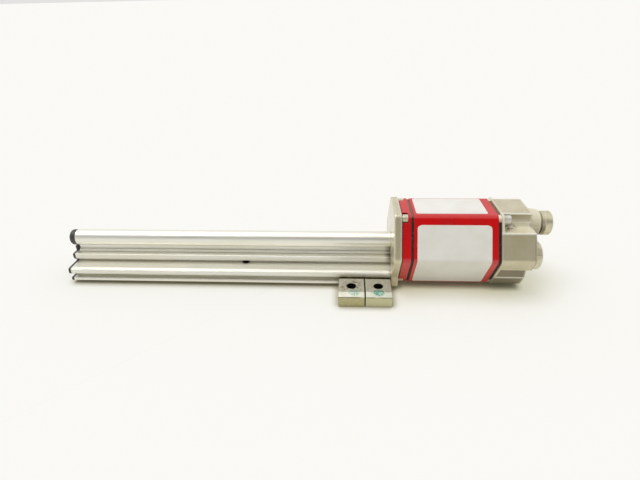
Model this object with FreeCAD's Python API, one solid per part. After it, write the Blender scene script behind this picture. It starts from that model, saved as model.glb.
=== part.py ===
"""Magnetostrictive linear position sensor in a rail housing, with two sliding mounting clamps.

Millimetres. X runs along the rail towards the connectors, Z is up, and z = 0 is the mounting surface
under the clamps. The origin is under the middle of the overall length.
"""
import FreeCAD, Part
import os
from math import cos, radians, sin, sqrt

Vector = FreeCAD.Vector

# Fits between pieces
slide_gap = 0.3             # between the rail and a clamp that slides on it
slip_gap = 0.05             # radial gap between pieces that are pushed together
hole_gap = 0.2              # radial gap round a screw in a clearance hole
round_limit = 0.45          # largest rounding or chamfer, as a share of the wall that it is on

# Rail section, heights counted from its underside
rail_length = 195.5
axis_height = 22.95         # underside to the axis of the sensing tube
tube_r = 4.85
tube_bore_r = 3.4
neck_half = 1.9
bead_height = 15.3
bead_out = 2.6              # from the middle of the neck
bead_r = 0.9
ledge_height = 14.5
shoulder_half = 6.8
shoulder_foot = 11.4
waist_half = 4.4
shelf_height = 8.9
shelf_thick = 3.6
rail_half = 15.2
groove_half = 8.6
lip_half = 14.5
lip_height = 2.1
shelf_round = 1.5
lip_round = 0.7
edge_round = 0.5

# T-slot in the underside of the rail
slot_mouth = 5.4
slot_width = 9.4
slot_lip = 1.5
slot_depth = 4.6

# Screw ports in the rail
port_r = 1.25
port_spacing = 7.2
port_height = 11.9

# Mounting clamps
clamp_web = 1.7
clamp_length = 14.6
clamp_width = 68.0
clamp_top = 8.0
clamp_side = 6.6
clamp_bevel = 3.3
clamp_hole_r = 2.65
clamp_hole_spacing = 50.0
clamp_edge = 0.6            # from the flange face to the inner clamp
clamp_apart = 0.8           # between the two clamps
clamp_side_gap = 2.5        # between the rail's side and the clamp's block, over the tongue
tongue_thick = 1.8

# Hexagonal head
head_flat = 43.9
head_round = 3.0
head_bore_r = 17.4
cover_flat = 45.0
seal_inset = 0.5
flange_flat = 45.4
flange_thick = 4.4
flange_round = 0.9
flange_foot_half = 16.9
foot_round = 1.2
gasket_thick = 0.4
gasket_inset = 0.5
ring_length = 4.6
front_seal_thick = 1.5
sleeve_length = 45.9
rear_seal_thick = 1.65

# Connector cover
plate_thick = 1.4
block_length = 16.1
arm_step = 1.3              # arm, past the ends of the upper and lower bars
bar_half = 10.1             # half widths of the upper and lower bars
low_bar_half = 17.3
arm_top = 14.1              # level arm, above and below the head axis
arm_low = 6.9
pocket_round = 4.0
low_pocket_round = 1.5
cover_edge = 0.9

# Long cover screws, at four corners of the head
tie_reach = 22.3            # from the head axis
tie_r = 1.5
tie_head_r = 2.5
tie_head_height = 4.0
tie_head_chamfer = 0.3
tie_socket_flat = 2.5
tie_socket_depth = 2.0
post_r = 2.6
post_root_r = 2.0
post_length = 3.2
notch_gap = 1.0

# Signal connector on the upright bar
signal_rise = 11.85         # above the head axis
boss_r = 8.8
boss_tip_r = 8.0
boss_length = 6.9
boss_chamfer = 0.4
shell_r = 6.4
shell_bore_r = 5.2
shell_seat = 10.0           # length of the shell inside the block
neck_length = 2.5
coupling_r = 7.05
coupling_length = 4.7
coupling_chamfer = 0.6
neck_seal_thick = 1.1
neck_seal_width = 0.8
insert_setback = 1.4        # insert face, behind the end of the boss
pin_r = 0.5
pin_tip_chamfer = 0.25
pin_circle_r = 2.7
pin_count = 6
pin_length = 4.5

# Capped second port on the arm
port_y = -13.2
port_drop = 2.15            # below the head axis
cap_r = 8.0
cap_flats = 12
cap_flat_depth = 0.2
cap_length = 4.2
cap_seal_thick = 0.8
cap_chamfer = 0.8
cap_stem_r = 4.5
cap_stem_length = 9.0

# Rail end
end_plate_thick = 1.5
end_plate_top = 17.5        # above the rail's underside
tube_setback = 1.6          # tube and neck, short of the end of the foot
plug_head = 4.0
plug_dome = 1.6
plug_stem = 6.0
end_screw_length = 8.0
end_head_r = 1.9
end_head_height = 0.9
end_head_chamfer = 0.4
end_slot_width = 0.7
end_slot_depth = 0.4
rail_screw_length = 14.0
rail_head_r = 2.1
rail_head_height = 2.0

# Sensing element
liner_bore_r = 1.2
wire_r = 0.45
wire_past_bush = 1.5
damper_length = 22.0
block_width = 12.0
sensing_length = 16.0
coil_r = 1.2
coil_length = 7.0
coil_setback = 3.5
bush_length = 4.0
magnet_length = 8.0
magnet_width = 2.5
magnet_height = 3.0

# Electronics in the head
carrier_wall = 2.0
carrier_rail_width = 2.6
carrier_rail_out = 15.0
carrier_rail_low = 3.0      # below and above the head axis
carrier_rail_top = 1.6
carrier_end_gap = 1.0
carrier_window_r = 4.2
board_width = 28.0
board_thick = 1.6
board_end_gap = 0.3
lead_r = 0.45
header_thick = 2.0
header_setback = 2.3        # from the end of the board
header_margin = 0.9         # round the circle of leads
chip_gap = 1.5              # between the header and the tall chips, and from the boards' front end

# Components on the boards: length, width and height
processor = (10.0, 10.0, 1.6)
converter = (5.0, 4.0, 1.4)
capacitor = (7.0, 5.0, 5.0)
inductor = (6.0, 6.0, 4.0)
transformer = (8.0, 8.0, 4.5)
bus_driver = (6.0, 5.0, 1.6)
regulator = (9.0, 12.0, 3.0)

# Worked out from the sizes above
rail_base = clamp_web + slide_gap
axis_z = rail_base + axis_height
head_length = sum((
    flange_thick, gasket_thick, ring_length, front_seal_thick, sleeve_length, rear_seal_thick,
    plate_thick, block_length, boss_length, neck_length, coupling_length))
x_flange = (rail_length + plug_head - tube_setback - head_length) / 2
x_rail_end = x_flange - rail_length
x_tube_end = x_rail_end + tube_setback
x_gasket = x_flange + flange_thick
x_ring = x_gasket + gasket_thick
x_front_seal = x_ring + ring_length
x_sleeve = x_front_seal + front_seal_thick
x_rear_seal = x_sleeve + sleeve_length
x_cover = x_rear_seal + rear_seal_thick
x_block = x_cover + plate_thick
x_cover_end = x_block + block_length
x_arm_end = x_cover_end + arm_step
x_boss_end = x_cover_end + boss_length
x_coupling = x_boss_end + neck_length
x_tip = x_coupling + coupling_length
x_carrier = x_sleeve + carrier_end_gap
x_carrier_end = x_rear_seal - carrier_end_gap
x_insert_face = x_boss_end - insert_setback
x_shell_back = x_cover_end - shell_seat
x_boards = x_carrier + carrier_wall + board_end_gap
x_boards_end = x_carrier_end - carrier_wall - board_end_gap
x_header = x_boards_end - header_setback - header_thick
signal_z = axis_z + signal_rise
capped_z = axis_z - port_drop
tie_turns = [radians(turn) for turn in (60, 120, 240, 300)]
tie_spots = [(tie_reach * cos(turn), axis_z + tie_reach * sin(turn)) for turn in tie_turns]
port_spots = [(side * port_spacing / 2, rail_base + port_height) for side in (-1, 1)]
clamp_hole_spots = [side * clamp_hole_spacing / 2 for side in (-1, 1)]


def prism(outline, x0, x1):
    """Solid with a closed outline of (y, z) points, run along X."""
    wire = Part.makePolygon([Vector(x0, y, z) for y, z in outline + outline[:1]])
    return Part.Face(wire).extrude(Vector(x1 - x0, 0, 0))


def mirrored(half):
    """Full outline from the points of its +Y half."""
    return half + [(-y, z) for y, z in reversed(half)]


def rod(r, x0, x1, y=0.0, z=axis_z):
    """Round bar along X."""
    return Part.makeCylinder(r, x1 - x0, Vector(x0, y, z), Vector(1, 0, 0))


def box(x0, x1, y0, y1, z0, z1):
    return Part.makeBox(x1 - x0, y1 - y0, z1 - z0, Vector(x0, y0, z0))


def edges_along(shape, spots):
    """Edges that run along X through the given (y, z) spots."""
    found = []
    for edge in shape.Edges:
        bounds = edge.BoundBox
        if bounds.YLength > 1e-4 or bounds.ZLength > 1e-4:
            continue
        if any(abs(bounds.YMin - y) < 1e-3 and abs(bounds.ZMin - z) < 1e-3 for y, z in spots):
            found.append(edge)
    return found


def edges_at(shape, x):
    """Edges that lie in the plane at x."""
    flat = [edge for edge in shape.Edges if edge.BoundBox.XLength < 1e-4]
    return [edge for edge in flat if abs(edge.BoundBox.XMin - x) < 1e-3]


def limited(r, wall):
    """Rounding that its wall has room for."""
    return min(r, round_limit * wall)


def hexagon_points(flat, y=0.0, z=axis_z):
    """Corners of a hexagon that lies on a flat, on the head axis or about another (y, z) spot."""
    side = flat / sqrt(3)
    turns = [radians(turn) for turn in range(0, 360, 60)]
    return [(y + side * cos(turn), z + side * sin(turn)) for turn in turns]


def hexagon(flat, x0, x1):
    """Hexagonal bar along the head axis with rounded corners."""
    corners = hexagon_points(flat)
    bar = prism(corners, x0, x1)
    return bar.makeFillet(head_round, edges_along(bar, corners))


def rods(r, x0, x1, spots):
    """Several round bars along X, as one cutting tool."""
    return Part.makeCompound([rod(r, x0, x1, y, z) for y, z in spots])


def collar(flat, x0, x1):
    """Hexagonal ring with the head's round bore and clearance holes for the long screws."""
    ring = hexagon(flat, x0, x1).cut(rod(head_bore_r, x0, x1))
    return ring.cut(rods(tie_r + hole_gap, x0, x1, tie_spots))


def rail_outline():
    """Half of the rail section below the tube, from the underside up."""
    half = [
        (lip_half, 0), (lip_half, lip_height), (groove_half, lip_height),
        (groove_half, shelf_height - shelf_thick), (rail_half, shelf_height - shelf_thick),
        (rail_half, shelf_height), (waist_half, shelf_height), (shoulder_half, shoulder_foot),
        (shoulder_half, ledge_height), (neck_half, ledge_height), (neck_half, axis_height),
    ]
    return [(y, rail_base + z) for y, z in half]


def rail_foot(x0, x1):
    """Rail section below the tube, with its edges rounded."""
    foot = prism(mirrored(rail_outline()), x0, x1)
    roundings = {
        (rail_half, shelf_height): limited(shelf_round, shelf_thick),
        (rail_half, shelf_height - shelf_thick): limited(edge_round, shelf_thick),
        (lip_half, 0): limited(edge_round, lip_height),
        (lip_half, lip_height): limited(lip_round, lip_height),
        (shoulder_half, ledge_height): limited(edge_round, ledge_height - shoulder_foot),
    }
    for (y, z), r in roundings.items():
        foot = foot.makeFillet(r, edges_along(foot, [(y, rail_base + z), (-y, rail_base + z)]))
    slot_half = slot_width / 2
    mouth = box(x0, x1, -slot_mouth / 2, slot_mouth / 2, rail_base, rail_base + slot_depth)
    channel = box(x0, x1, -slot_half, slot_half, rail_base + slot_lip, rail_base + slot_depth)
    return foot.cut(mouth).cut(channel).cut(rods(port_r, x0, x1, port_spots))


def rail_profile():
    """Extruded rail: slotted foot, grooves for the clamps, neck and round sensing tube."""
    x0, x1 = x_rail_end, x_flange
    beads = [rod(bead_r, x0, x1, side * bead_out, rail_base + bead_height) for side in (-1, 1)]
    rail = rail_foot(x0, x1).multiFuse([rod(tube_r, x0, x1)] + beads)
    upper = box(x0, x_tube_end, -rail_half, rail_half, rail_base + ledge_height, axis_z + tube_r)
    return rail.cut(rod(tube_bore_r, x0, x1)).cut(upper).removeSplitter()


def rail_end_plate():
    """Thin plate over the end of the rail's foot, below the tube plug."""
    x0 = x_rail_end - end_plate_thick
    plate = rail_foot(x0, x_rail_end)
    return plate.common(box(x0, x_rail_end, -rail_half, rail_half, rail_base, rail_base + end_plate_top))


def end_plate_screws():
    """Two slotted pan-head screws in the ports at the rail's free end."""
    x0 = x_rail_end - end_plate_thick
    screws = []
    for y, z in port_spots:
        head = rod(end_head_r, x0 - end_head_height, x0, y, z)
        rim = edges_at(head, x0 - end_head_height)
        head = head.makeChamfer(limited(end_head_chamfer, end_head_height), rim)
        x_slot = x0 - end_head_height + end_slot_depth
        half = end_slot_width / 2
        head = head.cut(box(x0 - end_head_height, x_slot, y - end_head_r, y + end_head_r, z - half, z + half))
        screws.append(head.fuse(rod(port_r - slip_gap, x0, x0 + end_screw_length, y, z)))
    return Part.makeCompound(screws)


def tube_end_plug():
    """Domed plug in the end of the sensing tube."""
    head = rod(tube_r, x_tube_end - plug_head, x_tube_end)
    head = head.makeFillet(plug_dome, edges_at(head, x_tube_end - plug_head))
    return head.fuse(rod(tube_bore_r - slip_gap, x_tube_end, x_tube_end + plug_stem))


def front_flange():
    """Hexagonal end flange with a squared foot and four posts that take the long screws."""
    x0, x1 = x_flange, x_gasket
    plate = hexagon(flange_flat, x0, x1)
    foot = box(x0, x1, -flange_foot_half, flange_foot_half, rail_base, axis_z)
    foot_corners = [(-flange_foot_half, rail_base), (flange_foot_half, rail_base)]
    foot = foot.makeFillet(foot_round, edges_along(foot, foot_corners))
    plate = plate.fuse(foot).removeSplitter()
    plate = plate.makeFillet(flange_round, edges_at(plate, x0) + edges_at(plate, x1))
    roots = [rod(post_root_r, x1, x_ring, y, z) for y, z in tie_spots]
    posts = [rod(post_r, x_ring, x1 + post_length, y, z) for y, z in tie_spots]
    plate = plate.multiFuse(roots + posts).cut(rod(tube_bore_r, x0, x1))
    plate = plate.cut(rods(tie_r + slip_gap, x0 + flange_round, x1 + post_length, tie_spots))
    return plate.cut(rods(port_r + hole_gap, x0, x1, port_spots))


def rail_screws():
    """Two cap screws that hold the rail to the flange, from inside the head."""
    screws = []
    for y, z in port_spots:
        head = rod(rail_head_r, x_gasket, x_gasket + rail_head_height, y, z)
        screws.append(head.fuse(rod(port_r - slip_gap, x_gasket - rail_screw_length, x_gasket, y, z)))
    return Part.makeCompound(screws)


def flange_gasket():
    """Thin gasket between the flange and the front ring, set back from the edge, notched for the posts."""
    ring = hexagon(head_flat - 2 * gasket_inset, x_gasket, x_ring).cut(rod(head_bore_r, x_gasket, x_ring))
    return ring.cut(rods(post_r + hole_gap, x_gasket, x_ring, tie_spots))


def front_ring():
    """Ring ahead of the sleeve, notched at four corners for the flange's posts."""
    notch_end = x_gasket + post_length + hole_gap
    notches = rods(post_r + notch_gap, x_ring, notch_end, tie_spots)
    return collar(head_flat, x_ring, x_front_seal).cut(notches)


def front_seal():
    return collar(head_flat - 2 * seal_inset, x_front_seal, x_sleeve)


def housing_sleeve():
    """Extruded sleeve, hexagonal outside and round inside, with screw channels in its corners."""
    return collar(head_flat, x_sleeve, x_rear_seal)


def rear_seal():
    """Seal ahead of the cover, notched at four corners for the cover's pads."""
    notches = rods(post_r + hole_gap, x_rear_seal, x_cover, tie_spots)
    return collar(head_flat - 2 * seal_inset, x_rear_seal, x_cover).cut(notches)


def cover_bar():
    """Upper bar of the cover's block, with rounded corners where it stands on the arm."""
    top, high = axis_z + arm_top, axis_z + cover_flat / 2
    bar = box(x_block, x_cover_end, -bar_half, bar_half, axis_z, high)
    bar = bar.makeFillet(cover_edge, edges_at(bar, x_cover_end))
    x1 = x_cover_end - cover_edge
    out = bar_half + pocket_round
    corners = box(x_block, x1, -out, out, top, top + pocket_round)
    for side in (-1, 1):
        corners = corners.cut(rod(pocket_round, x_block, x1, side * out, top + pocket_round))
    return bar.fuse(corners)


def cover_arm():
    """Level arm with the lower bar, cut to the cover's hexagon, with rounded inner corners."""
    reach = cover_flat
    top, low = axis_z + arm_top, axis_z - arm_low
    outline = [(low_bar_half, axis_z - reach), (low_bar_half, low), (reach, low), (reach, top)]
    arm = prism(mirrored(outline), x_block, x_arm_end)
    arm = arm.makeFillet(low_pocket_round, edges_along(arm, [(-low_bar_half, low), (low_bar_half, low)]))
    arm = arm.common(hexagon(cover_flat, x_block, x_arm_end))
    arm = arm.cut(box(x_cover_end, x_arm_end, -reach, reach, axis_z - reach, low))
    return arm.makeFillet(cover_edge, edges_at(arm, x_arm_end))


def connector_boss():
    """Tapered boss on the upper bar, for the signal connector."""
    tip = Part.makeCone(boss_r, boss_tip_r, boss_length, Vector(x_cover_end, 0, signal_z), Vector(1, 0, 0))
    tip = tip.makeChamfer(boss_chamfer, edges_at(tip, x_boss_end))
    return rod(boss_r, x_block, x_cover_end, 0, signal_z).fuse(tip)


def connector_cover():
    """Rear cover: hexagonal plate with corner pads, block of bar and arm, connector boss, seat of the cap."""
    seat = rod(cap_r - cap_chamfer, x_block, x_arm_end, port_y, capped_z)
    plate = hexagon(cover_flat, x_cover, x_block)
    pads = [rod(post_r, x_rear_seal, x_cover, y, z) for y, z in tie_spots]
    cover = plate.multiFuse(pads + [cover_bar(), cover_arm(), connector_boss(), seat])
    cover = cover.cut(rods(tie_r + hole_gap, x_rear_seal, x_block, tie_spots))
    cover = cover.cut(rods(tie_head_r + hole_gap, x_block, x_arm_end, tie_spots))
    cover = cover.cut(rod(shell_r + slip_gap, x_cover, x_boss_end, 0, signal_z))
    seal_r = shell_r + slip_gap + neck_seal_width
    cover = cover.cut(rod(seal_r, x_boss_end - neck_seal_thick, x_boss_end, 0, signal_z))
    return cover.cut(rod(cap_stem_r + slip_gap, x_cover, x_arm_end, port_y, capped_z))


def cover_screws():
    """Four long socket-head screws from the cover, through the sleeve, into the flange's posts."""
    screws = []
    x1 = x_block + tie_head_height
    for y, z in tie_spots:
        head = rod(tie_head_r, x_block, x1, y, z)
        chamfer = limited(tie_head_chamfer, tie_head_r - tie_socket_flat / 2)
        head = head.makeChamfer(chamfer, edges_at(head, x1))
        head = head.cut(prism(hexagon_points(tie_socket_flat, y, z), x1 - tie_socket_depth, x1))
        screws.append(head.fuse(rod(tie_r, x_gasket, x_block, y, z)))
    return Part.makeCompound(screws)


def signal_connector_shell():
    """Metal shell: seat in the cover, thread neck and coupling ring, bored for the insert."""
    coupling = rod(coupling_r, x_coupling, x_tip, 0, signal_z)
    rims = edges_at(coupling, x_tip) + edges_at(coupling, x_coupling)
    coupling = coupling.makeChamfer(coupling_chamfer, rims)
    shell = rod(shell_r, x_shell_back, x_coupling, 0, signal_z).fuse(coupling)
    return shell.cut(rod(shell_bore_r, x_shell_back, x_tip, 0, signal_z))


def signal_connector_seal():
    """Flat seal round the neck, sunk in the end of the boss."""
    x0 = x_boss_end - neck_seal_thick
    seal = rod(shell_r + slip_gap + neck_seal_width, x0, x_boss_end, 0, signal_z)
    return seal.cut(rod(shell_r + slip_gap, x0, x_boss_end, 0, signal_z))


def pin_spots():
    """Places of the contacts round the connector's axis, and one in the middle."""
    ring = [radians(360 * k / pin_count) for k in range(pin_count)]
    around = [(pin_circle_r * sin(a), signal_z + pin_circle_r * cos(a)) for a in ring]
    return around + [(0, signal_z)]


def signal_connector_insert():
    """Moulded insert that holds the contacts."""
    insert = rod(shell_bore_r - slip_gap, x_shell_back, x_insert_face, 0, signal_z)
    return insert.cut(rods(pin_r, x_shell_back, x_insert_face, pin_spots()))


def signal_connector_pins():
    """Round contacts, from the back of the insert to their free ends."""
    x1 = x_insert_face + pin_length
    pins = []
    for y, z in pin_spots():
        pin = rod(pin_r, x_shell_back, x1, y, z)
        pins.append(pin.makeChamfer(limited(pin_tip_chamfer, 2 * pin_r), edges_at(pin, x1)))
    return Part.makeCompound(pins)


def port_seal():
    """Flat seal under the port's cap."""
    x1 = x_arm_end + cap_seal_thick
    seal = rod(cap_r - cap_chamfer, x_arm_end, x1, port_y, capped_z)
    return seal.cut(rod(cap_stem_r + slip_gap, x_arm_end, x1, port_y, capped_z))


def port_cap():
    """Screwed cap on the second port, with shallow grip flats."""
    x0 = x_arm_end + cap_seal_thick
    x1 = x0 + cap_length
    flat_r = (cap_r - cap_flat_depth) / cos(radians(180 / cap_flats))
    turns = [radians(360 * k / cap_flats) for k in range(cap_flats)]
    flats = prism([(port_y + flat_r * cos(a), capped_z + flat_r * sin(a)) for a in turns], x0, x1)
    round_cap = rod(cap_r, x0, x1, port_y, capped_z)
    round_cap = round_cap.makeChamfer(cap_chamfer, edges_at(round_cap, x1))
    cap = round_cap.common(flats)
    return cap.fuse(rod(cap_stem_r, x_arm_end - cap_stem_length, x0, port_y, capped_z))


def waveguide_liner():
    """Liner tube in the rail's bore, from the plug's stem to the carrier."""
    x0 = x_tube_end + plug_stem
    return rod(tube_bore_r - slip_gap, x0, x_carrier).cut(rod(liner_bore_r, x0, x_carrier))


def waveguide_damper():
    """Soft sleeve round the far end of the wire."""
    x0 = x_tube_end + plug_stem
    sleeve = rod(liner_bore_r - slip_gap, x0, x0 + damper_length)
    return sleeve.cut(rod(wire_r + slip_gap, x0, x0 + damper_length))


def sensing_span():
    """X where the sensing block starts, where its coil starts, and where the coil ends."""
    start = x_carrier + carrier_wall
    return start, start + coil_setback, start + coil_setback + coil_length


def waveguide_wire():
    """Straight magnetostrictive wire, from the damper to the anchor bush."""
    x1 = sensing_span()[2] + bush_length + wire_past_bush
    return rod(wire_r, x_tube_end + plug_stem, x1)


def sensing_block():
    """Block behind the carrier's front wall that holds the pick-up coil and the wire's anchor."""
    x0, x_coil, _ = sensing_span()
    x1 = x0 + sensing_length
    half = block_width / 2
    block = box(x0, x1, -half, half, axis_z - carrier_rail_low, axis_z + carrier_rail_top)
    block = block.cut(rod(wire_r + slip_gap, x0, x_coil))
    return block.cut(rod(coil_r + slip_gap, x_coil, x1))


def pickup_coil():
    _, x0, x1 = sensing_span()
    return rod(coil_r, x0, x1).cut(rod(wire_r + slip_gap, x0, x1))


def waveguide_anchor():
    """Brass bush that clamps the end of the wire."""
    x0 = sensing_span()[2]
    return rod(coil_r, x0, x0 + bush_length).cut(rod(wire_r, x0, x0 + bush_length))


def bias_magnet():
    """Bar magnet beside the pick-up coil, on the lower board."""
    x0 = sensing_span()[1]
    y0 = block_width / 2
    z0 = axis_z - carrier_rail_low
    return box(x0, x0 + magnet_length, y0, y0 + magnet_width, z0, z0 + magnet_height)


def board_carrier():
    """Moulded carrier: two round end walls joined by the rails that the boards lie on."""
    r = head_bore_r - slip_gap
    front = rod(r, x_carrier, x_carrier + carrier_wall)
    front = front.cut(rod(liner_bore_r, x_carrier, x_carrier + carrier_wall))
    back = rod(r, x_carrier_end - carrier_wall, x_carrier_end)
    back = back.cut(rod(carrier_window_r, x_carrier_end - carrier_wall, x_carrier_end, 0, signal_z))
    z0, z1 = axis_z - carrier_rail_low, axis_z + carrier_rail_top
    inner = carrier_rail_out - carrier_rail_width
    bars = [
        box(x_carrier + carrier_wall, x_carrier_end - carrier_wall, -carrier_rail_out, -inner, z0, z1),
        box(x_carrier + carrier_wall, x_carrier_end - carrier_wall, inner, carrier_rail_out, z0, z1),
    ]
    return front.multiFuse([back] + bars).removeSplitter()


def board(z0, chips, upward):
    """Circuit board with chips on one side, placed by their share of the room ahead of the header and of
    the board's half width."""
    plate = box(x_boards, x_boards_end, -board_width / 2, board_width / 2, z0, z0 + board_thick)
    first = x_boards + chip_gap
    last = x_header - chip_gap
    parts = []
    for (length, width, height), x_share, y_share in chips:
        x = first + x_share * (last - length - first)
        y = y_share * board_width / 2 - width / 2
        z = z0 + board_thick if upward else z0 - height
        parts.append(box(x, x + length, y, y + width, z, z + height))
    return plate.multiFuse(parts).removeSplitter()


def main_board():
    """Upper board with the signal processor, converters, a capacitor and an inductor."""
    chips = [
        (processor, 0.50, 0.0), (converter, 0.12, -0.35), (converter, 0.12, 0.35),
        (capacitor, 1.0, -0.40), (inductor, 1.0, 0.25),
    ]
    return board(axis_z + carrier_rail_top, chips, True)


def interface_board():
    """Lower board with the power supply and bus driver on its underside."""
    chips = [(transformer, 0.15, 0.0), (bus_driver, 0.60, -0.35), (regulator, 1.0, 0.2)]
    return board(axis_z - carrier_rail_low - board_thick, chips, False)


def connector_leads():
    """Straight leads from the contacts to a header on the upper board."""
    x1 = x_header + header_thick
    half = pin_circle_r + header_margin
    board_top = axis_z + carrier_rail_top + board_thick
    header = box(x_header, x1, -half, half, board_top, signal_z + half)
    return header.multiFuse([rod(lead_r, x1, x_shell_back, y, z) for y, z in pin_spots()])


def clamp(x0):
    """Mounting clamp: a web under the rail and two bolted blocks with tongues over the rail's lips."""
    tongue_low = rail_base + lip_height + slide_gap
    tongue_top = tongue_low + tongue_thick
    block = rail_half + clamp_side_gap
    half = [
        (clamp_width / 2, 0), (clamp_width / 2, clamp_side), (clamp_width / 2 - clamp_bevel, clamp_top),
        (block, clamp_top), (block, tongue_top),
        (groove_half + slide_gap, tongue_top), (groove_half + slide_gap, tongue_low),
        (lip_half + slide_gap, tongue_low), (lip_half + slide_gap, clamp_web),
    ]
    body = prism(mirrored(half), x0, x0 + clamp_length)
    for y in clamp_hole_spots:
        middle = Vector(x0 + clamp_length / 2, y, 0)
        body = body.cut(Part.makeCylinder(clamp_hole_r, clamp_top, middle))
    return body


def mounting_clamp_inner():
    return clamp(x_flange - clamp_edge - clamp_length)


def mounting_clamp_outer():
    return clamp(x_flange - clamp_edge - clamp_apart - 2 * clamp_length)


PIECES = [
    rail_profile, rail_end_plate, end_plate_screws, tube_end_plug, front_flange, rail_screws,
    flange_gasket, front_ring, front_seal, housing_sleeve, rear_seal, connector_cover, cover_screws,
    signal_connector_shell, signal_connector_seal, signal_connector_insert, signal_connector_pins,
    port_seal, port_cap, waveguide_liner, waveguide_damper, waveguide_wire, sensing_block, pickup_coil,
    waveguide_anchor, bias_magnet, board_carrier, main_board, interface_board, connector_leads,
    mounting_clamp_inner, mounting_clamp_outer,
]

os.makedirs("parts", exist_ok=True)
for piece in PIECES:
    piece().exportStep("parts/" + piece.__name__ + ".step")
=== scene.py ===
"""Looks of a rail-type position sensor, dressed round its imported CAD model. Units are metres."""
from math import cos, pi, radians, sin, sqrt, tan

import bmesh
import bpy
from mathutils import Euler, Matrix, Vector


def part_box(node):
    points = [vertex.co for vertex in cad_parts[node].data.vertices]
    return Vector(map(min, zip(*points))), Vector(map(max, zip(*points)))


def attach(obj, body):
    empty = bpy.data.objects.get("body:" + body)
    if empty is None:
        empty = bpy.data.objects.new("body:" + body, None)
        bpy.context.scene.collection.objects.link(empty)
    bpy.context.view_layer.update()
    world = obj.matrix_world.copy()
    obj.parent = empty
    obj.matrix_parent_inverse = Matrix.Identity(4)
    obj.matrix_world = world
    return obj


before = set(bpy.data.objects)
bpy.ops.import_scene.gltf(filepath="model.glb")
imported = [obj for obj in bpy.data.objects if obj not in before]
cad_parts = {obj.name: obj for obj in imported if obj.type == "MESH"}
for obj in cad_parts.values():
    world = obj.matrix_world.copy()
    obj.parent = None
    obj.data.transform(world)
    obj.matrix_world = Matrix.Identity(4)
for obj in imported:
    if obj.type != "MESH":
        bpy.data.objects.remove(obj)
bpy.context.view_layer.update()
scene = bpy.context.scene
mm = 0.001

# Camera, from a fit to the photograph; its x is counted from the flange's face
camera_x = -27.09 * mm
camera_y = -233.72 * mm
camera_z = 154.55 * mm
camera_pitch = 29.107       # degrees below the horizon
camera_yaw = 3.747
camera_roll = -1.347
camera_lens = 24.73         # mm, as the sensor width
sensor_width = 36.0
camera_near = 0.01          # nearest and farthest distance that it shows
camera_far = 100.0

# Labels on the sleeve, x counted from its front end
head_round = 3.0 * mm       # rounding of the head's corners
label_thick = 0.12 * mm
top_label_x = (1.65 * mm, 41.05 * mm)
top_label_y = (-9.7 * mm, 10.9 * mm)
top_label_corners = (0.8 * mm, 0.8 * mm)
front_label_x = (1.95 * mm, 42.35 * mm)
front_label_corners = (2.2 * mm, 0.6 * mm)
front_label_start = 4.95 * mm       # below the upper corner of its face
front_label_end = 23.4 * mm         # below the front corner of the head
label_columns = 8
label_rows = 24             # on a flat stretch
label_bend_rows = 12        # round the front corner

# Connector thread
neck_r = 6.4 * mm
coupling_length = 4.7 * mm
thread_pitch = 1.0 * mm
thread_depth = 0.6 * mm
thread_sink = 0.03 * mm     # of its root, into the neck
thread_steps = 48           # in a turn
darkening_rise = 3.0 * mm       # of the darkening in the thread, above the connector's axis

# Clamp marks
clamp_hole_y = 25.0 * mm
clamp_hole_r = 2.65 * mm
clamp_bevel_drop = 1.4 * mm
clamp_bevel_width = 3.3 * mm
speck_reach = 9.0 * mm      # round a hole
smear_y = 30.8 * mm
smear_reach = 4.2 * mm
smear_shape = (1.15, 1.5, 1)        # how much a distance from its middle counts, by axis

# Painted highlights and painted shade, wear and dirt on the connector cover
boss_length = 7.0 * mm
arm_top = 39.05 * mm
arm_edge_y = 18.2 * mm
arm_low = 18.05 * mm
low_wall_y = 17.3 * mm
low_crease = 9.9 * mm
crease_reach = 0.7 * mm
highlight_reach = 1.2 * mm
highlight_lines = (          # painted highlight lines: y and height of the edges of the bar and the arm
    (10.1 * mm, 47.45 * mm),
    (17.85 * mm, arm_top),
)
pocket_shadows_and_dirt = (       # dark specks, painted screw shadow and dirt, in the pocket: x from the cover's front end, y, reach
    (3.6 * mm, -12.0 * mm, 5.0 * mm),
    (8.0 * mm, -10.0 * mm, 3.5 * mm),
)

# Painted shade, stains and the rounded shelf edge of the rail
shelf_top = 10.9 * mm
shelf_edge_y = 11.5 * mm            # where the rounding starts
shelf_edge_low = 7.3 * mm
shelf_edge_round = 3.2 * mm
groove_top = 7.5 * mm
seam_heights = (11.5 * mm, 24.0 * mm)       # painted shade and dirt in the seam with the flange
seam_reach = 3.5 * mm
spot_place = (-88.4 * mm, -4.9 * mm)        # x from the flange's face, y
spot_reach = 2.0 * mm

# Light: an even pale room, dim high above the viewer, and a broad light overhead from the left
room_tint = (1.0, 0.995, 0.98, 1)
room_level = 0.77
viewer_level = 0.0
viewer_height = radians(38)
viewer_core = radians(12)
viewer_reach = radians(24)
viewer_spread = 0.33        # share of the sideways distance that counts, so the dim patch is wide
overhead_level = 1.4
overhead_tint = (1.0, 0.985, 0.96)
overhead_way = (0.35, 0.0, -1.0)
overhead_size = radians(40)

# Floor
floor_half = 60.0
floor_glow = 0.40           # of the pale floor, as the camera and metal see it
close_glow = 0.04           # of the floor in its painted shadow close to the object
# reach and strength of the floor's painted shadow
close_reach = 5.0 * mm
close_share = 0.85

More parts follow.
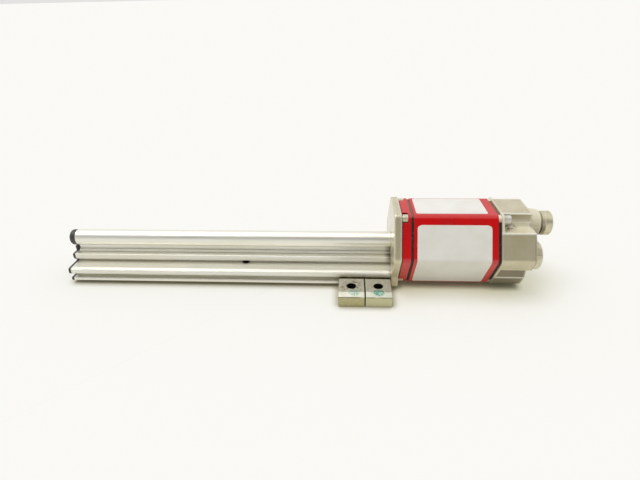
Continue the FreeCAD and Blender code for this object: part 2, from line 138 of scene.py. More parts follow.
# Colours, linear
aluminium_pale = (0.94, 0.93, 0.87, 1)
aluminium_dull = (0.84, 0.815, 0.66, 1)
# dark colour for painted shade in the rail's corners and seam, and for dirt in the seam
aluminium_stain_and_shade = (0.20, 0.18, 0.11, 1)
tan_pale = (0.66, 0.605, 0.42, 1)
tan_dull = (0.55, 0.485, 0.305, 1)
# paler colour for painted light on the boss and the pocket floor
tan_painted_light = (0.80, 0.745, 0.56, 1)
# pale colour for worn edges and for painted highlights on edges and the crease
tan_worn_and_highlight = (0.92, 0.90, 0.79, 1)
# dark colour for real dirt specks and for painted shade in corners, recesses and under overhangs
tan_grime_and_shade = (0.12, 0.09, 0.045, 1)
red_bright = (0.64, 0.006, 0.008, 1)
red_deep = (0.56, 0.005, 0.006, 1)
# dark red for painted shade in the coat's seams
red_painted_shade = (0.12, 0.004, 0.005, 1)
rubber_dark = (0.016, 0.008, 0.007, 1)
rubber_dust = (0.22, 0.12, 0.08, 1)
plastic_dark = (0.050, 0.050, 0.050, 1)
plastic_worn = (0.12, 0.12, 0.115, 1)
steel_pale = (0.78, 0.76, 0.69, 1)
steel_dull = (0.58, 0.56, 0.51, 1)
nickel_pale = (0.72, 0.67, 0.50, 1)
nickel_dull = (0.55, 0.50, 0.34, 1)
brass_pale = (0.78, 0.58, 0.25, 1)
brass_dull = (0.56, 0.38, 0.14, 1)
copper_pale = (0.66, 0.30, 0.13, 1)
copper_dull = (0.46, 0.18, 0.07, 1)
insert_dark = (0.02, 0.02, 0.02, 1)
insert_worn = (0.035, 0.034, 0.033, 1)
board_green = (0.02, 0.16, 0.06, 1)
board_deep = (0.015, 0.11, 0.045, 1)
liner_pale = (0.78, 0.78, 0.75, 1)
liner_dull = (0.68, 0.67, 0.63, 1)
magnet_grey = (0.09, 0.09, 0.09, 1)
magnet_dark = (0.05, 0.05, 0.05, 1)
lead_pale = (0.66, 0.66, 0.63, 1)
lead_dull = (0.52, 0.52, 0.49, 1)
label_white = (0.83, 0.825, 0.785, 1)
label_aged = (0.77, 0.76, 0.70, 1)
clamp_pale = (0.56, 0.54, 0.44, 1)
clamp_dull = (0.44, 0.42, 0.32, 1)
clamp_worn = (0.57, 0.58, 0.49, 1)
clamp_olive = (0.47, 0.42, 0.18, 1)
clamp_straw = (0.60, 0.58, 0.32, 1)
# black for the rail's spot and for painted shade in the clamp holes
black_stain_and_hole_shade = (0.012, 0.009, 0.005, 1)
paint_teal = (0.09, 0.30, 0.23, 1)
floor_pale = (0.82, 0.80, 0.69, 1)
floor_seen = (0.52, 0.53, 0.66, 1)
# colour of the floor's painted shadow close to the object
floor_shade = (0.39, 0.345, 0.225, 1)
floor_light = (1.0, 0.965, 0.56, 1)

# Node settings
bevel_samples = 4
occlusion_samples = 6
mix_inputs = (0, 6, 7)      # share and two colours of a Mix node that mixes colours
mix_result = 2
soft_edge = 0.3 * mm        # over which a mark fades in, where nothing else is said
along_x = (1, 0, 0)         # distances counted along or beside one axis alone
along_z = (0, 0, 1)
beside_x = (0, 1, 1)
beside_z = (1, 1, 0)


class Surface:
    """One material's node tree, with short calls for the nodes that the finishes share."""

    def __init__(self, name, metallic=0.0):
        self.material = bpy.data.materials.new(name)
        self.material.use_nodes = True
        self.tree = self.material.node_tree
        self.shader = self.tree.nodes["Principled BSDF"]
        self.shader.inputs["Metallic"].default_value = metallic
        self.place = self.add("ShaderNodeTexCoord").outputs["Object"]

    def add(self, kind, **settings):
        node = self.tree.nodes.new(kind)
        for key, value in settings.items():
            setattr(node, key, value)
        return node

    def feed(self, socket, value):
        """Sets a socket from a constant or from another node."""
        if isinstance(value, bpy.types.NodeSocket):
            self.tree.links.new(value, socket)
        else:
            socket.default_value = value

    def stretched(self, stretch):
        """Object coordinates, scaled by axis."""
        node = self.add("ShaderNodeVectorMath", operation="MULTIPLY")
        self.feed(node.inputs[0], self.place)
        node.inputs[1].default_value = stretch
        return node.outputs[0]

    def noise(self, size, detail=3.0, stretch=(1, 1, 1)):
        """Soft noise with features of about the given size, longer along small stretches."""
        node = self.add("ShaderNodeTexNoise")
        self.feed(node.inputs["Vector"], self.stretched(stretch))
        node.inputs["Scale"].default_value = 1 / size
        node.inputs["Detail"].default_value = detail
        return node.outputs["Fac"]

    def span(self, value, low, high, to_low=0.0, to_high=1.0):
        """Maps low..high to to_low..to_high, clamped."""
        node = self.add("ShaderNodeMapRange")
        for socket, part in zip(node.inputs, (value, low, high, to_low, to_high)):
            self.feed(socket, part)
        return node.outputs[0]

    def above(self, value, limit, fade=soft_edge):
        """0 below a limit, rising to 1 over the fade above it."""
        return self.span(value, limit, limit + fade)

    def below(self, value, limit, fade=soft_edge):
        """0 above a limit, rising to 1 over the fade below it."""
        return self.span(value, limit, limit - fade)

    def clouded(self, noise, low, high):
        """A value that follows a noise over its usual range."""
        return self.span(noise, 0.3, 0.7, low, high)

    def math(self, operation, a, b):
        node = self.add("ShaderNodeMath", operation=operation, use_clamp=True)
        self.feed(node.inputs[0], a)
        self.feed(node.inputs[1], b)
        return node.outputs[0]

    def both(self, *masks):
        """Product of masks and strengths."""
        product = masks[0]
        for mask in masks[1:]:
            product = self.math("MULTIPLY", product, mask)
        return product

    def either(self, a, b):
        """The stronger of two masks."""
        return self.math("MAXIMUM", a, b)

    def mix(self, share, a, b):
        """Colour a turning into colour b."""
        node = self.add("ShaderNodeMix", data_type="RGBA")
        for index, value in zip(mix_inputs, (share, a, b)):
            self.feed(node.inputs[index], value)
        return node.outputs[mix_result]

    def axis(self, letter):
        """One object coordinate."""
        node = self.add("ShaderNodeSeparateXYZ")
        self.feed(node.inputs[0], self.place)
        return node.outputs[letter]

    def across(self):
        """Distance to either side of the object's middle plane."""
        return self.math("ABSOLUTE", self.axis("Y"), 0.0)

    def near(self, centre, reach, stretch=(1, 1, 1)):
        """1 at a point, falling to 0 at the given reach."""
        node = self.add("ShaderNodeVectorMath", operation="DISTANCE")
        self.feed(node.inputs[0], self.stretched(stretch))
        node.inputs[1].default_value = [c * s for c, s in zip(centre, stretch)]
        return self.span(node.outputs["Value"], 0.0, reach, to_low=1.0, to_high=0.0)

    def facing(self, letter, low, high):
        """0 to 1 as a face turns towards the positive end of an axis."""
        node = self.add("ShaderNodeSeparateXYZ")
        self.feed(node.inputs[0], self.add("ShaderNodeNewGeometry").outputs["Normal"])
        return self.span(node.outputs[letter], low, high)

    def softened(self, radius):
        """Normal with the piece's sharp edges rounded by a radius."""
        node = self.add("ShaderNodeBevel", samples=bevel_samples)
        self.feed(node.inputs["Radius"], radius)
        return node.outputs[0]

    def edges(self, radius, start=0.98, full=0.80):
        """1 along sharp edges: 0 where the softened normal turns by a cosine of start, 1 at full."""
        dot = self.add("ShaderNodeVectorMath", operation="DOT_PRODUCT")
        self.feed(dot.inputs[0], self.softened(radius))
        self.feed(dot.inputs[1], self.add("ShaderNodeNewGeometry").outputs["Normal"])
        return self.span(dot.outputs["Value"], start, full)

    def corners(self, reach, open_share=0.60, deep_share=0.05):
        """1 in crevices, 0 on open faces."""
        node = self.add("ShaderNodeAmbientOcclusion", samples=occlusion_samples)
        node.inputs["Distance"].default_value = reach
        return self.span(node.outputs["AO"], open_share, deep_share)

    def bump(self, height, depth, strength=1.0, rounding=None):
        """Surface relief of the given depth, over edges softened by a small radius."""
        node = self.add("ShaderNodeBump")
        node.inputs["Strength"].default_value = strength
        node.inputs["Distance"].default_value = depth
        self.feed(node.inputs["Height"], height)
        if rounding is not None:
            self.feed(node.inputs["Normal"], self.softened(rounding))
        self.feed(self.shader.inputs["Normal"], node.outputs[0])

    def finish(self, colour, roughness):
        self.feed(self.shader.inputs["Base Color"], colour)
        self.feed(self.shader.inputs["Roughness"], roughness)
        return self.material


def rail_marks(s, streaks, colour):
    """Painted shade in the grooves, painted shade and dirt in the seam with the flange, and one black spot
    on the rail's shelf.
    """
    flange_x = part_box("front_flange")[0].x
    height = s.axis("Z")
    # painted shade in the groove under the shelf
    groove_shade = s.both(s.below(height, groove_top, fade=0.4 * mm),
                    s.corners(3 * mm, open_share=0.8, deep_share=0.3), 0.30)
    colour = s.mix(groove_shade, colour, tan_grime_and_shade)
    low, high = seam_heights
    # painted shade and dirt in the seam with the flange
    seam = s.both(s.near((flange_x, 0, 0), seam_reach, along_x), s.above(height, low, fade=2 * mm),
                  s.below(height, high, fade=4 * mm), s.span(streaks, 0.35, 0.60, to_low=0.6))
    colour = s.mix(seam, colour, aluminium_stain_and_shade)
    x, y = spot_place
    spot = s.near((flange_x + x, y, shelf_top), spot_reach, stretch=(0.7, 1, 1))
    return s.mix(s.span(spot, 0.05, 0.35), colour, black_stain_and_hole_shade)


def rail_aluminium():
    """Drawn aluminium: fine lines along the rail, dull patches, painted shade in its corners and a rounded
    shelf edge.
    """
    s = Surface("rail_aluminium", metallic=0.75)
    lines = s.noise(0.25 * mm, detail=4.0, stretch=(0.006, 1, 1))
    streaks = s.noise(1.1 * mm, stretch=(0.012, 1, 1))
    patches = s.noise(16 * mm, detail=4.0, stretch=(0.3, 1, 1))
    colour = s.mix(s.span(lines, 0.38, 0.70, to_high=0.6), aluminium_pale, aluminium_dull)
    colour = s.mix(s.span(streaks, 0.50, 0.62, to_high=0.45), colour, aluminium_dull)
    colour = s.mix(s.span(patches, 0.52, 0.75, to_high=0.4), colour, aluminium_dull)
    # painted shade in the rail's corners
    colour = s.mix(s.both(s.corners(1.6 * mm), 0.18), colour, aluminium_stain_and_shade)
    colour = rail_marks(s, streaks, colour)
    shelf_edge = s.both(s.above(s.across(), shelf_edge_y, fade=1.5 * mm),
                        s.above(s.axis("Z"), shelf_edge_low, fade=0.8 * mm))
    rounding = s.span(shelf_edge, 0.0, 1.0, to_low=0.3 * mm, to_high=shelf_edge_round)
    s.bump(lines, depth=0.010 * mm, strength=0.7, rounding=rounding)
    return s.finish(colour, s.clouded(patches, 0.36, 0.46))


def neck_span():
    """Ends of the connector's threaded neck along x, from boss to coupling ring, and the axis height."""
    low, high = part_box("signal_connector_shell")
    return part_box("signal_connector_seal")[1].x, high.x - coupling_length, (low.z + high.z) / 2


def cover_marks(s, clouds, colour, roughness):
    """Marks of the connector cover: painted highlight and shade on its boss, painted light and shade in its
    upper pocket, painted shade under the arm, painted highlights on its edges and low crease, painted screw
    shadows with specks of dirt.
    """
    low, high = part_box("connector_cover")
    boss_z = neck_span()[2]
    height = s.axis("Z")
    across = s.across()
    boss = s.above(s.axis("X"), high.x - boss_length)
    pocket = s.both(s.below(across, arm_edge_y), s.above(height, arm_top - 0.6 * mm),
                    s.below(height, high.z - 0.5 * mm))
    # painted highlight on the boss's upper side, painted shade on its lower side
    boss_highlight = s.both(boss, s.above(height, boss_z, fade=4 * mm))
    boss_shade = s.both(boss, s.below(height, boss_z + 3 * mm, fade=5 * mm), 0.50)
    # painted light on the upper pocket's upward faces, painted shade on its walls
    pocket_floor_light = s.both(pocket, s.facing("Z", 0.15, 0.5))
    pocket_wall_shade = s.both(pocket, s.facing("Z", 0.5, 0.15), 0.22)
    colour = s.mix(s.either(boss_highlight, pocket_floor_light), colour, tan_painted_light)
    colour = s.mix(boss_shade, colour, tan_grime_and_shade)
    colour = s.mix(pocket_wall_shade, colour, tan_grime_and_shade)
    roughness = s.span(pocket, 0.0, 1.0, to_low=roughness, to_high=0.6)
    # painted shade on the low bar's walls under the overhanging arm
    inner = s.below(across, low_wall_y + 0.6 * mm)
    under_arm_shade = s.both(inner, s.below(height, arm_low), s.facing("X", 0.8, 0.5), s.clouded(clouds, 0.86, 0.72))
    colour = s.mix(under_arm_shade, colour, tan_grime_and_shade)
    # painted highlight along the low bar's crease
    crease = s.both(inner, s.above(across, low_wall_y - 0.9 * mm, fade=0.4 * mm),
                    s.near((0, 0, low_crease), crease_reach, along_z))
    colour = s.mix(crease, colour, tan_worn_and_highlight)
    # painted highlight lines along the edges of the bar and the arm
    for y, z in highlight_lines:
        for side in (-1, 1):
            line = s.near((0, side * y, z), highlight_reach, beside_x)
            colour = s.mix(s.span(line, 0.2, 0.6), colour, tan_worn_and_highlight)
    # painted shadow of the screw heads, with specks of dirt, on the pocket floor
    specks = s.span(s.noise(1.1 * mm), 0.44, 0.54)
    for x, y, reach in pocket_shadows_and_dirt:
        dirt = s.both(s.near((low.x + x, y, arm_top), reach, stretch=(0.7, 1, 1)), specks)
        colour = s.mix(dirt, colour, tan_grime_and_shade)
    return colour, roughness


def cast_metal(name, marks=None):
    """Warm grey passivated casting: fine grain, pale edges (wear, with a painted highlight where they face
    up), painted shade in corners and any marks of its own.
    """
    s = Surface(name, metallic=0.45)
    grain = s.noise(0.35 * mm)
    clouds = s.noise(9 * mm, detail=4.0)
    colour = s.mix(s.span(clouds, 0.35, 0.70), tan_pale, tan_dull)
    roughness = s.clouded(clouds, 0.28, 0.38)
    if marks:
        colour, roughness = marks(s, clouds, colour, roughness)
    # pale edges: wear, with a painted highlight that is stronger where the face looks up
    upward_highlight = s.span(s.facing("Z", 0.55, 0.85), 0.0, 1.0, to_low=0.4)
    colour = s.mix(s.both(s.edges(1.8 * mm, full=0.93), upward_highlight), colour, tan_worn_and_highlight)
    # painted shade in the corners
    colour = s.mix(s.both(s.corners(1.8 * mm), 0.25), colour, tan_grime_and_shade)
    s.shader.inputs["Coat Weight"].default_value = 0.8
    s.shader.inputs["Coat Roughness"].default_value = 0.2
    s.bump(grain, depth=0.02 * mm, strength=0.5, rounding=0.6 * mm)
    return s.finish(colour, roughness)


def red_coat():
    """Glossy red coat with a faint orange-peel relief and painted shade in its seams."""
    s = Surface("red_coat")
    peel = s.noise(0.9 * mm, detail=2.0)
    clouds = s.noise(12 * mm, detail=4.0)
    colour = s.mix(s.span(clouds, 0.35, 0.70), red_bright, red_deep)
    # painted shade in the seams
    colour = s.mix(s.both(s.corners(1.6 * mm), 0.8), colour, red_painted_shade)
    s.shader.inputs["Specular IOR Level"].default_value = 0.75
    s.bump(peel, depth=0.015 * mm, strength=0.3, rounding=0.25 * mm)
    return s.finish(colour, s.clouded(clouds, 0.20, 0.28))


def seal_rubber():
    """Brown-black rubber, dusty in patches and where it looks up."""
    s = Surface("seal_rubber")
    dust = s.noise(1.6 * mm, detail=5.0)
    settled = s.either(s.facing("Z", 0.75, 0.95), s.span(dust, 0.50, 0.80, to_high=0.5))
    s.bump(dust, depth=0.05 * mm, strength=0.5)
    return s.finish(s.mix(settled, rubber_dark, rubber_dust), s.clouded(dust, 0.5, 0.75))


def dark_plastic():
    """Grey-black moulded plastic, worn pale at its edges and in patches."""
    s = Surface("dark_plastic")
    grain = s.noise(0.5 * mm)
    worn = s.either(s.edges(0.3 * mm), s.span(s.noise(5 * mm, detail=4.0), 0.55, 0.75))
    s.bump(grain, depth=0.02 * mm, strength=0.5, rounding=0.2 * mm)
    return s.finish(s.mix(worn, plastic_dark, plastic_worn), s.clouded(grain, 0.38, 0.55))


def thread_darkening(s, colour):
    """Darker colour in the lower part of the connector's thread, towards the bottom."""
    start, end, middle = neck_span()
    along = s.axis("X")
    neck = s.both(s.above(along, start - soft_edge), s.below(along, end + 0.1 * mm, fade=0.2 * mm),
                  s.below(s.axis("Z"), middle + darkening_rise, fade=darkening_rise), 0.75)
    return s.mix(neck, colour, tan_grime_and_shade)


def plain_metal(name, pale, dull, smooth, rough, metallic=1.0, marks=None):
    """Turned or plated metal with clouded tarnish, painted shade in corners and grooves, and any marks of
    its own.
    """
    s = Surface(name, metallic=metallic)
    clouds = s.noise(3.5 * mm, detail=4.0)
    lines = s.noise(0.2 * mm, stretch=(1, 0.15, 0.15))
    colour = s.mix(s.span(clouds, 0.40, 0.70), pale, dull)
    if marks:
        colour = marks(s, colour)
    # painted shade in corners and grooves
    colour = s.mix(s.both(s.corners(1.2 * mm), 0.7), colour, tan_grime_and_shade)
    s.bump(lines, depth=0.008 * mm, strength=0.5, rounding=0.15 * mm)
    return s.finish(colour, s.clouded(clouds, smooth, rough))


def plain_solid(name, pale, dull, smooth=0.5):
    """Moulded or coated inner piece with a slight mottle."""
    s = Surface(name)
    mottle = s.noise(1.2 * mm)
    s.bump(mottle, depth=0.02 * mm, strength=0.4)
    colour = s.mix(s.span(mottle, 0.4, 0.65), pale, dull)
    return s.finish(colour, s.clouded(mottle, smooth, smooth + 0.15))


def label_film(name):
    """Bare white film with faint ageing."""
    s = Surface(name)
    ageing = s.noise(11 * mm, detail=4.0)
    colour = s.mix(s.span(ageing, 0.40, 0.75), label_white, label_aged)
    s.bump(s.noise(2.5 * mm, detail=2.0), depth=0.01 * mm, strength=0.4)
    return s.finish(colour, s.clouded(ageing, 0.30, 0.42))


def hole_marks(s, colour, hole, speckled, smear, smear_share):
    """Specks of grime round a clamp's hole, a smear of teal paint and painted shade: the black inside of the
    hole.
    """
    specks = s.span(s.noise(1.4 * mm, detail=2.0), 0.54, 0.58)
    dirt = s.both(s.span(s.near(hole, speck_reach), 0.15, 0.5), specks, speckled)
    colour = s.mix(dirt, colour, tan_grime_and_shade)
    patch = s.both(s.span(s.near(smear, smear_reach, smear_shape), 0.0, 0.3),
                   s.span(s.noise(0.9 * mm, detail=4.0), 0.42, 0.48), smear_share)
    colour = s.mix(patch, colour, paint_teal)
    # painted shade: black within the hole
    inside = s.span(s.near(hole, 2 * clamp_hole_r, beside_z), 0.45, 0.49)
    return s.mix(inside, colour, black_stain_and_hole_shade)


def clamp_steel(name, node, end_tone, speckled, smear_shift, smear_share):
    """Worn passivated steel: bright bevels with a broken dark line under them, coloured ends with chips,
    marked holes and painted shade in corners.
    """
    low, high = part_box(node)
    middle = (low.x + high.x) / 2
    bevel_foot = high.z - clamp_bevel_drop
    bevel_y = high.y - clamp_bevel_width
    s = Surface(name, metallic=0.5)
    lines = s.noise(0.35 * mm, detail=4.0, stretch=(0.05, 1, 1))
    clouds = s.noise(4 * mm, detail=5.0)
    height = s.axis("Z")
    colour = s.mix(s.span(clouds, 0.35, 0.70), clamp_pale, clamp_dull)
    colour = s.mix(s.span(lines, 0.45, 0.70, to_high=0.5), colour, clamp_dull)
    bevel = s.above(s.across(), bevel_y - 0.2 * mm, fade=0.5 * mm)
    colour = s.mix(s.both(bevel, s.span(clouds, 0.30, 0.60, to_low=1.0, to_high=0.6)), colour, clamp_worn)
    ends = s.below(height, bevel_foot)
    colour = s.mix(s.both(ends, s.span(clouds, 0.30, 0.65, to_low=1.0, to_high=0.7)), colour, end_tone)
    chips = s.span(s.noise(0.7 * mm, detail=4.0), 0.56, 0.66)
    colour = s.mix(s.both(ends, chips, 0.7), colour, clamp_worn)
    for side in (-1, 1):
        hole = (middle, side * clamp_hole_y, high.z)
        smear = (middle + smear_shift, side * smear_y, high.z)
        colour = hole_marks(s, colour, hole, speckled, smear, smear_share)
    # a broken dark line just under the bevels
    under = s.both(s.above(height, bevel_foot - 0.7 * mm, fade=0.4 * mm),
                   s.below(height, bevel_foot + 0.1 * mm, fade=0.15 * mm),
                   s.span(s.noise(3 * mm, stretch=(1, 0.2, 0.2)), 0.38, 0.50), 0.8)
    colour = s.mix(under, colour, tan_grime_and_shade)
    # painted shade in the corners
    colour = s.mix(s.both(s.corners(2.0 * mm), 0.9), colour, tan_grime_and_shade)
    s.bump(lines, depth=0.02 * mm, strength=0.8, rounding=0.3 * mm)
    return s.finish(colour, s.clouded(clouds, 0.28, 0.45))


def dress_nodes():
    """Gives each CAD node its finish, and returns the connector's for its thread."""
    plated = {"smooth": 0.30, "rough": 0.42, "metallic": 0.6}
    nickel = plain_metal("connector_metal", nickel_pale, nickel_dull, **plated, marks=thread_darkening)
    screw = plain_metal("screw_steel", steel_pale, steel_dull, smooth=0.45, rough=0.60, metallic=0.6)
    brass = plain_metal("contact_brass", brass_pale, brass_dull, smooth=0.22, rough=0.35)
    insert = plain_solid("insert_plastic", insert_dark, insert_worn)
    board = plain_solid("board_green", board_green, board_deep, smooth=0.4)
    red = red_coat()
    rubber = seal_rubber()
    dark = dark_plastic()
    finishes = {
        "rail_profile": rail_aluminium(),
        "rail_end_plate": dark,
        "tube_end_plug": dark,
        "end_plate_screws": screw,
        "rail_screws": screw,
        "cover_screws": screw,
        "front_flange": cast_metal("cast_metal"),
        "connector_cover": cast_metal("cast_metal_cover", cover_marks),
        "flange_gasket": rubber,
        "front_seal": rubber,
        "rear_seal": rubber,
        "signal_connector_seal": rubber,
        "port_seal": rubber,
        "waveguide_damper": rubber,
        "front_ring": red,
        "housing_sleeve": red,
        "signal_connector_shell": nickel,
        "port_cap": plain_metal("cap_metal", nickel_pale, nickel_dull, **plated),
        "signal_connector_insert": insert,
        "sensing_block": insert,
        "board_carrier": insert,
        "signal_connector_pins": brass,
        "waveguide_anchor": brass,
        "waveguide_liner": plain_solid("liner_plastic", liner_pale, liner_dull),
        "waveguide_wire": plain_metal("wire_alloy", steel_pale, steel_dull, smooth=0.25, rough=0.40),
        "pickup_coil": plain_metal("coil_copper", copper_pale, copper_dull, smooth=0.30, rough=0.45),
        "bias_magnet": plain_solid("magnet_iron", magnet_grey, magnet_dark),
        "main_board": board,
        "interface_board": board,
        "connector_leads": plain_solid("lead_plastic", lead_pale, lead_dull),
        "mounting_clamp_inner": clamp_steel(
            "clamp_steel_inner", "mounting_clamp_inner", clamp_straw,
            speckled=0.20, smear_shift=0.0, smear_share=1.0),
        "mounting_clamp_outer": clamp_steel(
            "clamp_steel_outer", "mounting_clamp_outer", clamp_olive,
            speckled=0.75, smear_shift=1.5 * mm, smear_share=0.6),
    }
    for node, material in finishes.items():
        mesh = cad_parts[node].data
        mesh.materials.clear()
        mesh.materials.append(material)
    return nickel


def new_piece(name, points, faces, material, body, smooth_angle=30):
    """Mesh object from points and faces, riding on a body."""
    mesh = bpy.data.meshes.new(name)
    mesh.from_pydata(points, [], faces)
    mesh.validate()
    shaped = bmesh.new()
    shaped.from_mesh(mesh)
    bmesh.ops.recalc_face_normals(shaped, faces=shaped.faces)
    shaped.to_mesh(mesh)
    shaped.free()
    mesh.materials.append(material)
    mesh.shade_smooth()
    mesh.set_sharp_from_angle(angle=radians(smooth_angle))
    piece = bpy.data.objects.new(name, mesh)
    scene.collection.objects.link(piece)
    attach(piece, body)
    return piece


def corner_inset(corners, from_ends):
    """How far a sheet's side draws in at a row, from the corner radii and distances of its two ends."""
    inset = 0.0
    for corner, from_end in zip(corners, from_ends):
        near_end = max(corner - from_end, 0.0)
        inset = max(inset, corner - sqrt(max(corner ** 2 - near_end ** 2, 0.0)))
    return inset


def sheet_on(name, rows, left, right, corners, material):
    """Thin film over rows of (place along, point, outward normal), with rounded corners."""
    points, faces = [], []
    last = rows[-1][0]
    for along, point, normal in rows:
        inset = corner_inset(corners, (along, last - along))
        for lift in (0.0, label_thick):
            for k in range(label_columns + 1):
                x = left + inset + (right - left - 2 * inset) * k / label_columns
                points.append((x, point[0] + lift * normal[0], point[1] + lift * normal[1]))
    width = label_columns + 1
    per_row = 2 * width
    for r in range(len(rows) - 1):
        here, there = r * per_row, (r + 1) * per_row
        for k in range(label_columns):
            faces.append((here + k, here + k + 1, there + k + 1, there + k))
            top = width + k
            faces.append((here + top, there + top, there + top + 1, here + top + 1))
        for k in (0, label_columns):
            faces.append((here + k, there + k, there + width + k, here + width + k))
    for start in (0, (len(rows) - 1) * per_row):
        for k in range(label_columns):
            faces.append((start + k, start + k + 1, start + width + k + 1, start + width + k))
    return new_piece(name, points, faces, material, "sensor")


def flat_rows(before, start, end, normal):
    """Rows of a sheet along a straight stretch, after the length that lies before it."""
    run = (end - start).length
    rows = []
    for k in range(label_rows + 1):
        share = k / label_rows
        rows.append((before + run * share, start.lerp(end, share), normal))
    return rows


def bend_rows(before, centre, turn_start, turn_end):
    """Rows of a sheet round the head's corner, between those that end the flat stretches."""
    rows = []
    for k in range(1, label_bend_rows):
        turn = turn_start + (turn_end - turn_start) * k / label_bend_rows
        normal = Vector((cos(turn), sin(turn)))
        rows.append((before + head_round * (turn - turn_start), centre + head_round * normal, normal))
    return rows


def top_label():
    """Bare label on the sleeve's top face."""
    low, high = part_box("housing_sleeve")
    y0, y1 = top_label_y
    rows = flat_rows(0.0, Vector((y0, high.z)), Vector((y1, high.z)), Vector((0.0, 1.0)))
    left, right = [low.x + x for x in top_label_x]
    sheet_on("label_top", rows, left, right, top_label_corners, label_film("label_film_top"))


def front_label():
    """Bare label bent round the sleeve's front corner."""
    low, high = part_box("housing_sleeve")
    axis_z = (low.z + high.z) / 2
    side = (high.z - low.z) / sqrt(3)
    tangent = head_round * tan(radians(30))
    turn_up, turn_down = radians(150), radians(210)
    normal_up = Vector((cos(turn_up), sin(turn_up)))
    normal_down = Vector((cos(turn_down), sin(turn_down)))
    upper_corner = Vector((-side / 2, high.z))
    front_corner = Vector((-side, axis_z))
    lower_corner = Vector((-side / 2, low.z))
    bend_centre = Vector((-side + head_round / cos(radians(30)), axis_z))

    upper_start = upper_corner.lerp(front_corner, front_label_start / side)
    upper_end = front_corner.lerp(upper_corner, tangent / side)
    lower_start = front_corner.lerp(lower_corner, tangent / side)
    lower_end = front_corner.lerp(lower_corner, front_label_end / side)
    bend_from = (upper_end - upper_start).length
    bend_to = bend_from + head_round * (turn_down - turn_up)
    rows = flat_rows(0.0, upper_start, upper_end, normal_up)
    rows += bend_rows(bend_from, bend_centre, turn_up, turn_down)
    rows += flat_rows(bend_to, lower_start, lower_end, normal_down)
    left, right = [low.x + x for x in front_label_x]
    sheet_on("label_front", rows, left, right, front_label_corners, label_film("label_film_front"))


def connector_thread(material):
    """Thread on the connector's neck, between the boss and the coupling ring."""
    x0, x1, axis_z = neck_span()
    steps = int((x1 - x0 - thread_pitch) / thread_pitch * thread_steps)
    fade = thread_steps / 4
    points, faces = [], []
    for k in range(steps + 1):
        turn = 2 * pi * k / thread_steps
        x = x0 + thread_pitch * k / thread_steps
        crest = thread_depth * min(1.0, k / fade, (steps - k) / fade)
        section = ((0.05, -thread_sink), (0.45, crest), (0.55, crest), (0.95, -thread_sink))
        for shift, rise in section:
            reach = neck_r + rise
            points.append((x + shift * thread_pitch, reach * sin(turn), axis_z + reach * cos(turn)))
    ring = len(section)
    for k in range(steps):
        here, there = k * ring, (k + 1) * ring
        for j in range(ring):
            following = (j + 1) % ring
            faces.append((here + j, here + following, there + following, there + j))
    faces.append(tuple(range(ring)))
    faces.append(tuple(range(steps * ring, steps * ring + ring)))
    new_piece("signal_connector_thread", points, faces, material, "sensor",
              smooth_angle=25)


def camera():
    """Camera at the photograph's place."""
    data = bpy.data.cameras.new("camera")
    data.lens = camera_lens
    data.sensor_width = sensor_width
    data.clip_start = camera_near
    data.clip_end = camera_far
    eye = bpy.data.objects.new("camera", data)
    place = Vector((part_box("front_flange")[0].x + camera_x, camera_y, camera_z))
    turn = Euler((radians(90 - camera_pitch), 0, radians(camera_yaw))).to_matrix()
    turn = turn @ Matrix.Rotation(radians(camera_roll), 3, "Z")
    eye.matrix_world = Matrix.Translation(place) @ turn.to_4x4()
    scene.collection.objects.link(eye)
    scene.camera = eye


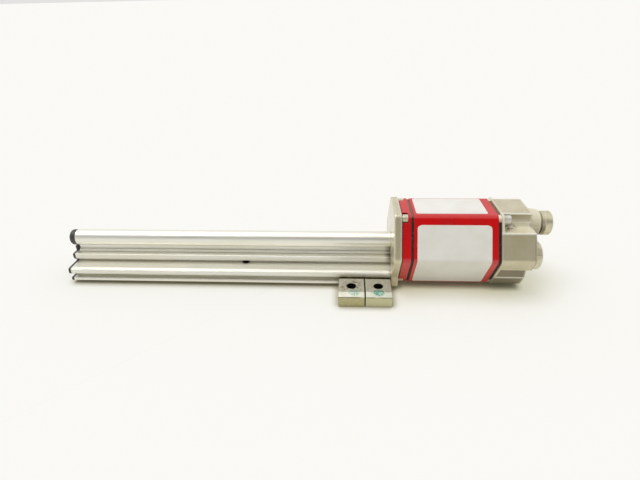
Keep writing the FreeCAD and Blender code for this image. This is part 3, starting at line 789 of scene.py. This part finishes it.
def floor_finish():
    """Pale floor, paler to the camera and in metal, with a painted warm shadow close to the object."""
    s = Surface("floor")
    path = s.add("ShaderNodeLightPath").outputs
    seen = s.either(path["Is Camera Ray"], path["Is Glossy Ray"])
    seen = s.either(seen, path["Is Transmission Ray"])
    # painted shadow: the floor turns darker and warmer and glows less close to the object
    close = s.corners(close_reach, open_share=0.94, deep_share=0.50)
    colour = s.mix(seen, floor_pale, s.mix(s.both(close, close_share), floor_seen, floor_shade))
    glow = s.both(seen, s.span(close, 0.0, 1.0, to_low=floor_glow, to_high=close_glow))
    s.shader.inputs["Specular IOR Level"].default_value = 0.0
    s.shader.inputs["Emission Color"].default_value = floor_light
    s.feed(s.shader.inputs["Emission Strength"], glow)
    return s.finish(colour, 0.9)


def stage_floor():
    """Flat floor that keeps the object's shadow."""
    half = floor_half
    corners = [(-half, -half, 0), (half, -half, 0), (half, half, 0), (-half, half, 0)]
    mesh = bpy.data.meshes.new("floor")
    mesh.from_pydata(corners, [], [(0, 1, 2, 3)])
    mesh.materials.append(floor_finish())
    floor = bpy.data.objects.new("floor", mesh)
    scene.collection.objects.link(floor)


def room_light():
    """Even room light, dim in a wide patch above the viewer."""
    world = bpy.data.worlds.new("room")
    scene.world = world
    world.use_nodes = True
    nodes, links = world.node_tree.nodes, world.node_tree.links

    def vector_step(operation, source, constant=None):
        node = nodes.new("ShaderNodeVectorMath")
        node.operation = operation
        links.new(source, node.inputs[0])
        if constant:
            node.inputs[1].default_value = constant
        return node.outputs

    way = nodes.new("ShaderNodeTexCoord").outputs["Generated"]
    narrowed = vector_step("MULTIPLY", way, (viewer_spread, 1.0, 1.0))
    unit = vector_step("NORMALIZE", narrowed["Vector"])
    viewer_way = (0.0, -cos(viewer_height), sin(viewer_height))
    viewer = vector_step("DOT_PRODUCT", unit["Vector"], viewer_way)
    level = nodes.new("ShaderNodeMapRange")
    links.new(viewer["Value"], level.inputs[0])
    ends = (cos(viewer_reach), cos(viewer_core), room_level, viewer_level)
    for socket, value in zip(list(level.inputs)[1:], ends):
        socket.default_value = value
    background = nodes["Background"]
    background.inputs["Color"].default_value = room_tint
    links.new(level.outputs[0], background.inputs["Strength"])


def overhead_light():
    """Broad light overhead, from the left."""
    lamp = bpy.data.lights.new("overhead", "SUN")
    lamp.energy = overhead_level
    lamp.angle = overhead_size
    lamp.color = overhead_tint
    holder = bpy.data.objects.new("overhead", lamp)
    holder.rotation_euler = Vector(overhead_way).to_track_quat("-Z", "Y").to_euler()
    scene.collection.objects.link(holder)


camera()
nickel = dress_nodes()
top_label()
front_label()
connector_thread(nickel)
stage_floor()
room_light()
overhead_light()
scene.view_settings.view_transform = "Standard"
